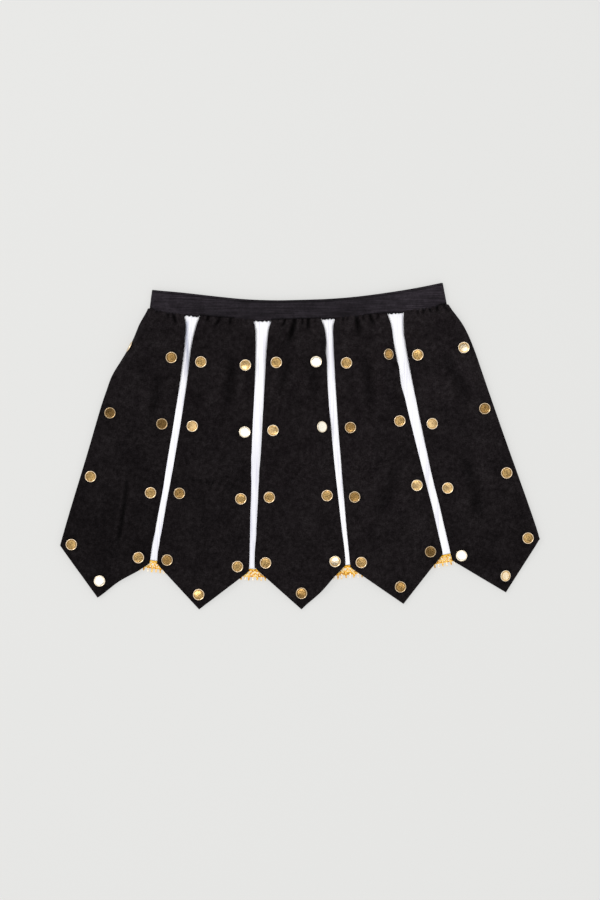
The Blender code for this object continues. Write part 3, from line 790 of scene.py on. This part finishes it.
def strip_mask(x):
    """1 over the white strips just under the band, 0 over the panels."""
    mask = np.zeros_like(x)
    y = band_low(x)
    for gap in GAPS:
        left, right = gap_between(gap)
        over = smoothstep((x - left(y)) / MM + 1) * smoothstep((right(y) - x) / MM + 1)
        mask = np.maximum(mask, over)
    return mask


def make_waistband(material):
    made = shell("waistband", "elastic_waistband", BAND_LEVELS)
    points, up, x, y, _ = measure(made)
    share = np.clip((y - band_low(x)) / (band_high(x) - band_low(x)), 0.0, 1.0)
    store(made.data, "up", share)
    lighter = sum(end.amount * past(end.side * x, end.starts) for end in BAND_LIGHTER)
    store(made.data, "shade", 1 + lighter)
    front = past(points[:, 2], FRONT_WALL)
    mask = strip_mask(x)
    points[:, 2] += BAND_LIFT * front * (1 - EDGE_DIP * mask * (1 - past(share, DIPPED_SHARE)))
    groove = GROOVE_DEPTH * bell((share - GROOVE_UP) / GROOVE_HALF)
    seam = SEAM_DEPTH * bell((share - SEAM_UP) / SEAM_HALF)
    points[:, 2] += np.clip(up, 0, 1) * front * (MM * swaying(x, BAND_SAG) - groove - seam)
    phase = math.tau * x / EDGE_WAVE_PITCH + swaying(x, PITCH_SWAY)
    wave = (EDGE_WAVE * mask + EDGE_WAVE_PANEL * (1 - mask)) * (0.5 + 0.5 * np.sin(phase))
    wave *= USUAL_HEIGHT + swaying(x, HEIGHT_SWAY)
    points[:, 1] += (wave - EDGE_DROP * mask) * front * (1 - past(share, WAVED_SHARE))
    points[:, 1] -= END_DROP * past(-x, END_DROPS) * (1 - past(share, DROPPED_SHARE)) * front
    set_points(made.data, points)
    return finish_piece(made, material, ["waistband"])


def hem_rise(x):
    """How much higher the front hem is drawn up at the third strip."""
    return HEM_RISE * bell((x - HEM_RISE_X) / HEM_RISE_HALF)


def hem_parabola(node):
    """Coefficients of the arc along a braid's upper edge, from its CAD wall."""
    points = points_of(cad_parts[node].data)
    x, y = points[:, 0], points[:, 1]
    arc = np.polyfit(x, y, 2)
    upper = y > np.polyval(arc, x)
    return np.polyfit(x[upper], y[upper], 2), x.min(), x.max()


class YarnMaker:
    """Collects the yarns of one braid as splines of a bevelled curve."""

    def __init__(self, name, node, materials):
        self.curve = bpy.data.curves.new(name, "CURVE")
        self.curve.dimensions = "3D"
        self.curve.bevel_depth = MM
        self.curve.bevel_resolution = 1
        self.curve.use_fill_caps = True
        for material in materials:
            self.curve.materials.append(material)
        self.arc, self.start, self.end = hem_parabola(node)
        self.raised = 1.0 if node.endswith("front") else 0.0
        low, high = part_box(node)
        self.middle = (low.z + high.z) / 2

    def place(self, x, below, rise):
        """The point at x along the hem, this far below it and above the braid's middle plane."""
        slope = np.polyval(np.polyder(self.arc), x)
        size = math.hypot(1.0, slope)
        y = np.polyval(self.arc, x) + self.raised * hem_rise(x)
        return x + below * slope / size, y - below / size, self.middle + rise

    def yarn(self, points, radius, closed=False, material=0):
        spline = self.curve.splines.new("POLY")
        spline.material_index = material
        spline.points.add(len(points) - 1)
        flat = [value for point in points for value in (*point, 1.0)]
        spline.points.foreach_set("co", flat)
        spline.points.foreach_set("radius", [radius / MM] * len(points))
        spline.use_cyclic_u = closed
        spline.use_smooth = True

    def mesh_object(self):
        bevelled = link(bpy.data.objects.new(self.curve.name, self.curve))
        mesh = evaluated_mesh(bevelled)
        bpy.data.objects.remove(bevelled)
        mesh.shade_smooth()
        return link(bpy.data.objects.new(self.curve.name, mesh))


def twisted_pair(maker, twist):
    """Two yarns that cross each other along the hem, one over and one under."""
    count = int((maker.end - maker.start) / BRAID_PITCH) * TWIST_STEPS
    places = np.linspace(maker.start, maker.end, count + 1)
    for side in (-1, 1):
        points = []
        for x in places:
            turn = math.tau * (x - maker.start) / BRAID_PITCH
            below = twist.below + side * twist.swing * math.sin(turn)
            points.append(maker.place(x, below, side * YARN_RISE * math.cos(turn)))
        maker.yarn(points, twist.yarn)


def braid_ring(maker, middle, size, number):
    """A ring of yarn that twists a little out of the braid's plane."""
    points = []
    for k in range(RING_STEPS):
        turn = math.tau * k / RING_STEPS
        below = RING_DROP + RING_TALL * size * math.sin(turn)
        rise = RING_TWIST * math.sin(2 * turn + number)
        points.append(maker.place(middle + size * math.cos(turn), below, rise))
    maker.yarn(points, RING_YARN, closed=True)


def braid_drop(maker, middle, end, sway, material):
    """A narrow open loop of yarn that hangs from the braid's lower edge."""
    points = []
    for k in range(DROP_STEPS + 1):
        turn = math.pi * DROP_OPENING * (2 * k / DROP_STEPS - 1)
        share = 0.5 + 0.5 * math.cos(turn)
        x = middle + DROP_HALF_WIDTH * math.sin(turn) + sway * share
        points.append(maker.place(x, DROP_TOP + (end - DROP_TOP) * share, DROP_TWIST * math.cos(turn)))
    maker.yarn(points, DROP_YARN, material=material)


def make_braid(node, name, materials, random):
    maker = YarnMaker(name, node, materials)
    twisted_pair(maker, BORDER)
    twisted_pair(maker, CHAIN)
    for below in BACKING_DROPS:
        places = np.linspace(maker.start, maker.end, BACKING_STEPS)
        maker.yarn([maker.place(x, below, -BACKING_SINK) for x in places], BACKING_YARN, material=1)
    for i in range(int((maker.end - maker.start) / BRAID_PITCH)):
        middle = maker.start + (i + 0.5) * BRAID_PITCH + random.uniform(-RING_SHIFT, RING_SHIFT)
        braid_ring(maker, middle, RING_RADIUS * random.uniform(*RING_SIZES), i)
        end = DROP_END - random.uniform(0.0, DROP_SHORTER)
        braid_drop(maker, middle, end, random.uniform(-DROP_SWAY, DROP_SWAY), i % 2)
    return finish_piece(maker.mesh_object(), None, [node])


def stud_template():
    """The turned stud: its half profile spun about Z."""
    disc = bmesh.new()
    verts = [disc.verts.new((p.radius * MM, 0.0, p.height * MM)) for p in STUD_PROFILE]
    edges = [disc.edges.new(pair) for pair in zip(verts, verts[1:])]
    bmesh.ops.spin(
        disc, geom=verts + edges, cent=(0, 0, 0), axis=(0, 0, 1), angle=math.tau, steps=STUD_STEPS,
        use_merge=True,
    )
    bmesh.ops.remove_doubles(disc, verts=disc.verts, dist=WELD)
    bmesh.ops.recalc_face_normals(disc, faces=disc.faces)
    mesh = bpy.data.meshes.new("stud_template")
    disc.to_mesh(mesh)
    disc.free()
    return mesh


def direction(lean):
    """The unit vector that leans this far from straight up."""
    angle, towards = math.radians(lean.degrees), math.radians(lean.towards)
    return Vector((math.sin(angle) * math.cos(towards), math.sin(angle) * math.sin(towards), math.cos(angle)))


def facing_of_stud(node, normal, random):
    """The way a stud faces, and how far it stands off its seat for that."""
    own = Lean(random.uniform(*LEAN_RANGE), random.uniform(0, 360))
    if node in TURNED:
        return turned_normal(node, normal), TURN_LIFT
    if node in FACINGS:
        faced = direction(FACINGS[node])
        if FACINGS[node].degrees > STEEP:
            return faced, -STEEP_SINK
    else:
        upright = Vector((0, 0, 1))
        faced = (normal.lerp(upright, LEVELLED).normalized() + direction(own) - upright).normalized()
    return faced, STUD_RADIUS * math.sin(normal.angle(faced)) * STAND_OFF


def make_stud(node, seat, normal, template, material, random):
    """One stud on its seat, leaning a little, with a face that isn't quite even."""
    mesh = template.copy()
    points = points_of(mesh)
    reach = np.hypot(points[:, 0], points[:, 1]) / STUD_RADIUS
    turn = np.arctan2(points[:, 1], points[:, 0])
    dents = np.zeros(len(points))
    for order in (1, 2, 3):
        dents += random.uniform(*DENT_SIZES) * np.cos(order * turn + random.uniform(0, math.tau)) * reach
    face = np.clip(points[:, 2] / MM - FACE_LOW, 0, 1)
    points[:, 2] += STUD_DENT * dents * face
    set_points(mesh, points)
    dished = (reach * STUD_RADIUS < STUD_RIM) & (points[:, 2] > FACE_LOW * MM)
    # Painted reflection: how pale or dark this stud's rim and face are coloured, standing in for what each
    # stud reflects
    level = painted_reflection_of(node)
    ring = RING_PAINTED_REFLECTION * (reach * STUD_RADIUS > RING_START) * (level > 0)
    on_dish = np.minimum(FACE_PAINTED_REFLECTION + (1 - FACE_PAINTED_REFLECTION) * level + ring, 1.0)
    store(mesh, "painted_reflection", np.where(dished, on_dish, RIM_PAINTED_REFLECTION * level))
    normal, lift = facing_of_stud(node, normal, random)
    facing = normal.to_track_quat("Z", "Y").to_matrix().to_4x4()
    made = link(bpy.data.objects.new(f"gold_{node}", mesh))
    mesh.transform(Matrix.Translation(seat + normal * lift) @ facing)
    mesh.shade_smooth()
    return finish_piece(made, material, [node])


def set_stops(elements, stops):
    """Sets a new colour ramp's stops, which come in rising order."""
    first, *middle, last = stops
    for element, (position, colour) in ((elements[0], first), (elements[-1], last)):
        element.position = position
        element.color = (*colour, 1.0)
    for position, colour in middle:
        elements.new(position).color = (*colour, 1.0)


def greys(*stops):
    """Grey stops for a colour ramp, from pairs of place and level."""
    return [(place, (level,) * 3) for place, level in stops]


class Paint:
    """A Principled material with short calls for the nodes that its finishes use."""

    def __init__(self, name, **constants):
        self.material = bpy.data.materials.new(name)
        self.material.use_nodes = True
        self.nodes = self.material.node_tree.nodes
        self.links = self.material.node_tree.links
        self.shader = self.nodes["Principled BSDF"]
        for socket, value in constants.items():
            self.shader.inputs[socket.replace("_", " ")].default_value = value
        self.place = self.nodes.new("ShaderNodeTexCoord").outputs["Object"]

    def add(self, kind, inputs, **settings):
        """A new node with these settings, and on each input a value or another node's output."""
        node = self.nodes.new(f"ShaderNode{kind}")
        for name, value in settings.items():
            setattr(node, name, value)
        for socket, value in inputs.items():
            if isinstance(value, bpy.types.NodeSocket):
                self.links.new(value, node.inputs[socket])
            else:
                node.inputs[socket].default_value = value
        return node

    def noise(self, scale, detail=2.0, roughness=0.5, distortion=0.0, place=None):
        inputs = {"Scale": scale, "Detail": detail, "Roughness": roughness, "Distortion": distortion}
        return self.add("TexNoise", {**inputs, "Vector": place or self.place}).outputs["Fac"]

    def ramp(self, value, stops):
        node = self.add("ValToRGB", {"Fac": value})
        set_stops(node.color_ramp.elements, stops)
        return node.outputs["Color"]

    def scaled(self, value, low, high):
        """Maps 0 to 1 onto low to high."""
        return self.add("MapRange", {"Value": value, "To Min": low, "To Max": high}).outputs["Result"]

    def maths(self, operation, first, second):
        return self.add("Math", {0: first, 1: second}, operation=operation).outputs["Value"]

    def mix(self, share, first, second, blend="MIX"):
        inputs = {"Factor": share, 6: first, 7: second}
        return self.add("Mix", inputs, data_type="RGBA", blend_type=blend).outputs[2]

    def times(self, first, second):
        return self.mix(1.0, first, second, "MULTIPLY")

    def grey(self, value):
        return self.add("CombineColor", {0: value, 1: value, 2: value}).outputs["Color"]

    def stretched(self, scale):
        """Places scaled apart along X, Y and Z, for lines instead of spots."""
        return self.add("Mapping", {"Scale": scale, "Vector": self.place}).outputs["Vector"]

    def attribute(self, name):
        return self.add("Attribute", {}, attribute_name=name).outputs["Fac"]

    def bump(self, height, distance, strength=1.0, over=None):
        inputs = {"Distance": distance, "Strength": strength, "Height": height}
        if over is not None:
            inputs["Normal"] = over
        return self.add("Bump", inputs).outputs["Normal"]

    def set(self, **sockets):
        for socket, value in sockets.items():
            self.links.new(value, self.shader.inputs[socket.replace("_", " ")])
        return self.material


def suede():
    """Black napped cloth: brushed blotches a few millimetres across over a fine nap."""
    sheen = {"Sheen_Weight": 0.008, "Sheen_Roughness": 0.5, "Sheen_Tint": (0.95, 0.82, 0.88, 1.0)}
    paint = Paint("black_suede", **sheen, Specular_IOR_Level=0.03)
    broad = paint.noise(38, 3.0, 0.55)
    blotch = paint.noise(190, 4.0, 0.62, 0.15)
    nap = paint.noise(760, 3.0, 0.75)
    colour = paint.ramp(blotch, [
        (0.30, (0.0048, 0.0038, 0.0041)),
        (0.50, (0.0085, 0.0069, 0.0074)),
        (0.70, (0.0132, 0.0112, 0.0119)),
    ])
    colour = paint.times(colour, paint.ramp(nap, [(0.3, (0.45, 0.45, 0.45)), (0.7, (1.5, 1.48, 1.5))]))
    colour = paint.times(colour, paint.ramp(broad, [(0.35, (0.82, 0.80, 0.82)), (0.65, (1.2, 1.2, 1.2))]))
    # Painted light and shade from each piece's shade values
    colour = paint.times(colour, paint.grey(paint.attribute("shade")))
    rough = paint.scaled(blotch, 0.98, 0.8)
    brushed = paint.bump(blotch, 0.5 * MM, 0.6)
    return paint.set(Base_Color=colour, Roughness=rough, Normal=paint.bump(nap, 0.35 * MM, 0.7, brushed))


RIBS = 18


def elastic():
    """Ribbed black elastic: ribs along the band, a seam line near each edge, the lower one darkened further
    by painted shadow.
    """
    sheen = {"Sheen_Weight": 0.015, "Sheen_Roughness": 0.35, "Sheen_Tint": (0.9, 0.82, 0.95, 1.0)}
    paint = Paint("black_elastic", **sheen, Specular_IOR_Level=0.05)
    up = paint.attribute("up")
    ribs = paint.maths("SINE", paint.maths("MULTIPLY", up, math.tau * RIBS), 0.0)
    rib_share = paint.scaled(ribs, 0.5, 1.0)
    knit = paint.noise(1300, 2.0, 0.6)
    patch = paint.noise(70, 3.0, 0.6)
    grain = paint.noise(420, 3.0, 0.6)
    streak = paint.noise(1.0, 3.0, 0.6, place=paint.stretched((28, 850, 850)))
    colour = paint.ramp(patch, [(0.3, (0.0108, 0.0086, 0.0112)), (0.7, (0.0188, 0.0156, 0.0196))])
    colour = paint.times(colour, paint.ramp(streak, greys((0.35, 0.62), (0.5, 1.0), (0.65, 1.5))))
    colour = paint.times(colour, paint.ramp(grain, greys((0.3, 0.7), (0.7, 1.25))))
    colour = paint.times(colour, paint.ramp(rib_share, greys((0.0, 0.75), (1.0, 1.1))))
    # The lower seam line is also painted shadow where the band's edge meets the panels
    lower_seam_and_shadow = greys((0.0, 0.3), (0.03, 0.25), (0.08, 0.95))
    upper_seam = greys((0.85, 1.0), (0.88, 0.5), (0.915, 0.5), (0.94, 1.15), (0.965, 0.8))
    top_line = (0.985, (0.25, 0.22, 0.25))
    colour = paint.times(colour, paint.ramp(up, [*lower_seam_and_shadow, *upper_seam, top_line]))
    colour = paint.times(colour, paint.grey(paint.attribute("shade")))
    ridged = paint.bump(rib_share, 0.25 * MM, 0.8)
    knitted = paint.bump(knit, 0.2 * MM, 0.5, ridged)
    return paint.set(Base_Color=colour, Roughness=paint.scaled(knit, 0.5, 0.72), Normal=knitted)


def lining():
    """White polyester cloth with soft cool lines down its length and a faint weave."""
    sheen = {"Sheen_Weight": 0.1, "Sheen_Roughness": 0.3}
    paint = Paint("white_lining", **sheen, Specular_IOR_Level=0.3, Roughness=0.6)
    drift = paint.noise(45, 3.0, 0.5)
    lines = paint.noise(1.0, 2.0, 0.55, place=paint.stretched((520, 14, 1)))
    weave = paint.noise(1600, 2.0, 0.5)
    colour = paint.ramp(lines, [
        (0.36, (0.66, 0.65, 0.74)),
        (0.45, (0.83, 0.82, 0.87)),
        (0.56, (0.91, 0.91, 0.925)),
    ])
    colour = paint.mix(0.3, colour, paint.ramp(drift, [(0.3, (0.83, 0.83, 0.88)), (0.7, (0.92, 0.92, 0.93))]))
    # Painted shade from the lining's shade values, cool in tint
    colour = paint.times(colour, paint.ramp(paint.attribute("shade"), [
        (0.0, (0.0, 0.0, 0.02)),
        (0.5, (0.44, 0.46, 0.56)),
        (1.0, (1, 1, 1)),
    ]))
    soft = paint.bump(lines, 0.25 * MM, 0.5)
    return paint.set(Base_Color=colour, Normal=paint.bump(weave, 0.1 * MM, 0.35, soft))


GOLDEN_TONES = (
    (0.38, (0.42, 0.16, 0.0)),
    (0.46, (0.90, 0.42, 0.008)),
    (0.55, (1.0, 0.62, 0.06)),
    (0.68, (1.0, 0.82, 0.38)),
)
PALE_TONES = ((0.4, (0.98, 0.62, 0.18)), (0.5, (1.0, 0.86, 0.62)), (0.6, (1.0, 0.97, 0.90)))


def yarn(name, tones):
    """Crochet yarn whose colour goes paler and darker at random, with a fine twist."""
    paint = Paint(name, Sheen_Weight=0.03, Sheen_Roughness=0.4, Specular_IOR_Level=0.2, Roughness=0.55)
    colour = paint.ramp(paint.noise(420, 2.0, 0.6), tones)
    twist = paint.noise(2600, 2.0, 0.6)
    return paint.set(Base_Color=colour, Normal=paint.bump(twist, 0.25 * MM, 0.7))


# The gold's colour by painted reflection, pale to dark: the rims' own values run up to 0.18, and the dished
# faces' from 0.25
GOLD_TONES = (
    (0.0, (0.85, 0.74, 0.56)),
    (0.09, (0.86, 0.68, 0.47)),
    (0.18, (0.40, 0.30, 0.19)),
    (0.22, (0.40, 0.30, 0.19)),
    (0.25, (1.0, 0.94, 0.80)),
    (0.40, (0.98, 0.66, 0.31)),
    (0.6, (0.76, 0.49, 0.187)),
    (0.8, (0.50, 0.29, 0.095)),
    (0.95, (0.17, 0.10, 0.035)),
)


def gold():
    """Gold-plated pressed metal with painted reflection in its colour: a pale rim round a dished face, both
    paler or darker by each stud's painted reflection.
    """
    paint = Paint("gold_plate", Metallic=1.0)
    painted_reflection = paint.attribute("painted_reflection")
    cloud = paint.noise(500, 2.0, 0.6)
    grain = paint.noise(900, 3.0, 0.7)
    face = paint.ramp(painted_reflection, GOLD_TONES)
    spots = paint.ramp(grain, [(0.38, (0.32, 0.27, 0.20)), *greys((0.5, 0.92), (0.62, 1.3))])
    patches = paint.ramp(cloud, [(0.35, (0.8, 0.8, 0.78)), *greys((0.6, 1.05))])
    spotted = paint.times(paint.times(face, spots), patches)
    on_face = paint.ramp(painted_reflection, greys((0.2, 0), (0.45, 1)))
    colour = paint.mix(on_face, face, spotted)
    pitted = paint.bump(grain, 0.07 * MM, 0.6)
    return paint.set(Base_Color=colour, Roughness=paint.scaled(painted_reflection, 0.12, 0.26), Normal=pitted)


FLOOR_COLOUR = (0.20, 0.20, 0.197)
FLOOR_PATCHES = 0.995
FLOOR_GLOW = (0.79, 0.79, 0.775)
FLOOR_GLOW_LEVEL = 0.711
FLOOR_HALF = 6
FLOOR_DEPTH = 0.05 * MM


def make_floor():
    """A large pale floor, lit from within as a light table is, so that shadows on it stay faint."""
    grid = bmesh.new()
    bmesh.ops.create_grid(grid, x_segments=1, y_segments=1, size=FLOOR_HALF)
    mesh = bpy.data.meshes.new("floor")
    grid.to_mesh(mesh)
    grid.free()
    floor = link(bpy.data.objects.new("floor", mesh))
    glow = {"Emission_Color": (*FLOOR_GLOW, 1.0), "Emission_Strength": FLOOR_GLOW_LEVEL}
    paint = Paint("pale_floor", Roughness=0.95, Specular_IOR_Level=0.0, **glow)
    darker = tuple(part * FLOOR_PATCHES for part in FLOOR_COLOUR)
    colour = paint.ramp(paint.noise(3, 2.0), [(0.3, FLOOR_COLOUR), (0.7, darker)])
    mesh.materials.append(paint.set(Base_Color=colour))
    floor.location.z = -FLOOR_DEPTH


# Studio light: sky brightness by angle from straight up, and three soft panels
SKY = ((0, 0.32), (7, 0.4), (14, 0.86), (24, 1.05), (60, 1.05), (76, 0.92), (90, 0.80))
SoftPanel = namedtuple("SoftPanel", "name place size watts")
SOFT_PANELS = (
    SoftPanel("key", (-1.3, 0.9, 1.7), 1.0, 10.0),
    SoftPanel("upper_glint", (0.0, 0.62, 2.4), 0.5, 2.4),
    SoftPanel("lower_glint", (0.0, -0.80, 2.4), 0.5, 2.4),
)


def make_sky():
    world = bpy.data.worlds.new("studio")
    bpy.context.scene.world = world
    world.use_nodes = True
    nodes, links = world.node_tree.nodes, world.node_tree.links
    view = nodes.new("ShaderNodeTexCoord")
    parts = nodes.new("ShaderNodeSeparateXYZ")
    links.new(view.outputs["Generated"], parts.inputs["Vector"])
    ramp = nodes.new("ShaderNodeValToRGB")
    strongest = max(level for _, level in SKY)
    rising = sorted(SKY, reverse=True)
    stops = greys(*((math.cos(math.radians(angle)), level / strongest) for angle, level in rising))
    set_stops(ramp.color_ramp.elements, stops)
    links.new(parts.outputs["Z"], ramp.inputs["Fac"])
    background = nodes["Background"]
    background.inputs["Strength"].default_value = strongest
    links.new(ramp.outputs["Color"], background.inputs["Color"])


def make_soft_panels():
    for panel in SOFT_PANELS:
        light = bpy.data.lights.new(panel.name, "AREA")
        light.shape = "DISK"
        light.size = panel.size
        light.energy = panel.watts
        lamp = link(bpy.data.objects.new(panel.name, light))
        lamp.location = panel.place
        lamp.rotation_mode = "QUATERNION"
        lamp.rotation_quaternion = (-Vector(panel.place)).to_track_quat("-Z", "Y")
        lamp.visible_camera = False


def make_camera():
    camera = bpy.data.cameras.new("camera")
    camera.lens = CAMERA_LENS
    camera.sensor_width = SENSOR
    placed = link(bpy.data.objects.new("camera", camera))
    distance = IMAGE_HEIGHT * PIXEL * CAMERA_LENS / SENSOR
    placed.location = (*VIEW_CENTRE, FOCUS_HEIGHT + distance)
    camera.clip_end = 4 * distance
    bpy.context.scene.camera = placed


def main():
    random = randoms.Random(SEED)
    bpy.context.scene.view_settings.view_transform = "Standard"
    seats = seats_of_studs()
    black, ribbed, white, plate = suede(), elastic(), lining(), gold()
    golden, pale = yarn("golden_yarn", GOLDEN_TONES), yarn("pale_yarn", PALE_TONES)
    pieces = {"waistband": make_waistband(ribbed)}
    for panel in PANELS:
        pieces[f"front_panel_{panel}"] = make_front_panel(panel, seats, black)
        pieces[f"back_panel_{panel}"] = make_plain_wall(f"back_panel_{panel}", "suede", black)
    pieces["underskirt_front"] = make_underskirt_front(white)
    pieces["underskirt_back"] = make_plain_wall("underskirt_back", "lining", white)
    for side in ("front", "back"):
        node = f"hem_braid_{side}"
        pieces[node] = make_braid(node, f"yarn_{node}", (golden, pale), random)
    template = stud_template()
    for node, (seat, normal) in seats.items():
        make_stud(node, seat, normal, template, plate, random)
    make_floor()
    make_sky()
    make_soft_panels()
    make_camera()


main()
